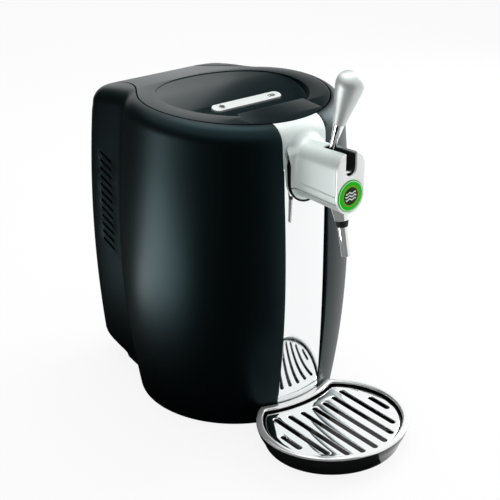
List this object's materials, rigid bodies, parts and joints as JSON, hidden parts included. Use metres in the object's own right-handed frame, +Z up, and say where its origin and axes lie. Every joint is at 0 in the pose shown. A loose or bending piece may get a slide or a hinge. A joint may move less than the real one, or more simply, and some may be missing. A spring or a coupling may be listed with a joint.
{
  "type": "mini keg beer dispenser",
  "caption": "Barrel-shaped table-top cooler for a small beer keg, with a hinged lid, a lever tap and a pull-out drip tray.",
  "frame": {"origin": "middle of the bounding box on plan, at the level of the feet's undersides", "axes": "+Z up, -Y to the front, where the tap and the drip tray are, +X to the right of a viewer who faces +Y in front of the dispenser"},
  "size_m": [0.2736, 0.4569, 0.4463],
  "materials": {
    "satin_black": "satin",
    "lid_black": "satin",
    "inner_black": "matt",
    "mirror_chrome": "mirror",
    "satin_silver": "satin silver paint",
    "pale_silver": "satin silver paint",
    "badge_green": "gloss",
    "aluminium": "satin",
    "foam": "rigid foam, matt",
    "ceramic_white": "matt",
    "rubber": "matt",
    "seal_grey": "matt",
    "board_green": "matt",
    "supply_grey": "matt",
    "lens_dark": "gloss",
    "steel": "satin"
  },
  "bodies": {
    "base": {"base_pan": "inner_black", "base_screw_1": "steel", "base_screw_2": "steel", "base_screw_3": "steel", "base_screw_4": "steel", "chamber_floor": "aluminium", "cold_block": "aluminium", "cord_gland": "rubber", "deck": "inner_black", "fan_frame": "inner_black", "foot_front_left": "rubber", "foot_front_right": "rubber", "foot_rear_left": "rubber", "foot_rear_right": "rubber", "front_carrier": "inner_black", "front_strip": "mirror_chrome", "heat_sink": "aluminium", "hinge_brackets": "inner_black", "hinge_pin": "steel", "insulation": "foam", "keg_chamber": "aluminium", "left_shell": "satin_black", "lever_pin": "steel", "lever_stop": "mirror_chrome", "power_supply": "supply_grey", "rear_panel": "satin_black", "right_shell": "satin_black", "spout_collar": "inner_black", "spout_cone": "mirror_chrome", "spout_nozzle": "mirror_chrome", "tap_badge": "badge_green", "tap_face": "satin_silver", "tap_frame": "inner_black", "tap_hood": "satin_silver", "tap_trough": "satin_silver", "thermoelectric_module": "ceramic_white", "valve_body": "inner_black"},
    "lid": {"lid_top": "lid_black", "lid_grip": "lid_black", "lid_liner": "inner_black", "lid_seal": "seal_grey", "lid_hinge_arms": "inner_black", "control_strip": "pale_silver", "lid_board": "board_green", "temperature_lens": "lens_dark"},
    "power_button": {"power_button": "pale_silver"},
    "lever": {"lever_stem": "mirror_chrome", "lever_ferrule": "mirror_chrome", "lever_knob": "satin_silver"},
    "pinch_slide": {"pinch_slide": "steel"},
    "fan": {"fan_rotor": "inner_black"},
    "drip_tray": {"tray_bowl": "satin_black", "tray_rim": "mirror_chrome"},
    "grate": {"tray_grate": "mirror_chrome"}
  },
  "joints": [
    {"name": "lid_hinge", "type": "hinge", "parent": "base", "child": "lid", "pos_m": [0, 0.2055, 0.353], "axis": [-1, 0, 0], "range_deg": [0, 95]},
    {"name": "power_press", "type": "slide", "parent": "lid", "child": "power_button", "axis": [0, 0.2472, -0.969], "range_m": [0, 0.0008], "stiffness_N_per_m": 400},
    {"name": "tap_lever", "type": "hinge", "parent": "base", "child": "lever", "pos_m": [0, -0.1219, 0.335], "axis": [1, 0, 0], "range_deg": [0, 58]},
    {"name": "pinch_travel", "type": "slide", "parent": "base", "child": "pinch_slide", "axis": [0, 0, -1], "range_m": [0, 0.0117]},
    {"name": "fan_spin", "type": "hinge", "parent": "base", "child": "fan", "pos_m": [0, 0.2041, 0.22], "axis": [0, 1, 0], "continuous": true},
    {"name": "tray_travel", "type": "slide", "parent": "base", "child": "drip_tray", "axis": [0, -1, 0], "range_m": [0, 0.12]},
    {"name": "grate_lift", "type": "slide", "parent": "drip_tray", "child": "grate", "axis": [0, 0, 1], "range_m": [0, 0.03]}
  ],
  "couplings": [
    {"joint": "pinch_travel", "follows": "tap_lever", "m_per_rad": 0.0114}
  ]
}
